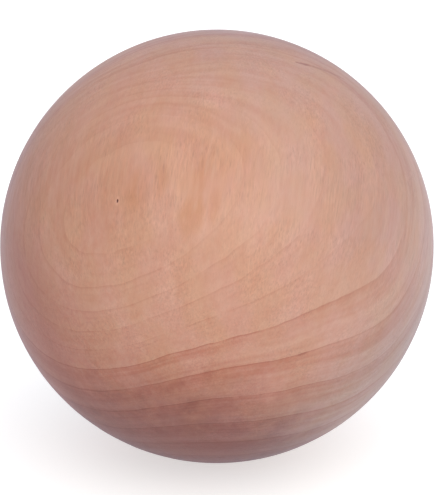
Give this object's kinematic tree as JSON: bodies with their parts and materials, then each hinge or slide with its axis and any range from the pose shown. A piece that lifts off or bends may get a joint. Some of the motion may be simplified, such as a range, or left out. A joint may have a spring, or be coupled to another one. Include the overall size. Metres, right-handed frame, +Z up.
{
  "type": "wooden ball",
  "caption": "Solid turned wooden ball with a satin finish, a plain part for a desk, bench or craft use.",
  "frame": {"origin": "centre of the ball", "axes": "+Z up; -Y towards a viewer in front, who sees the nested ovals of the growth rings; +X to that viewer's right"},
  "size_m": [0.1, 0.1, 0.1],
  "materials": {
    "wood": "satin"
  },
  "bodies": {
    "root": {"ball": "wood"}
  },
  "joints": []
}
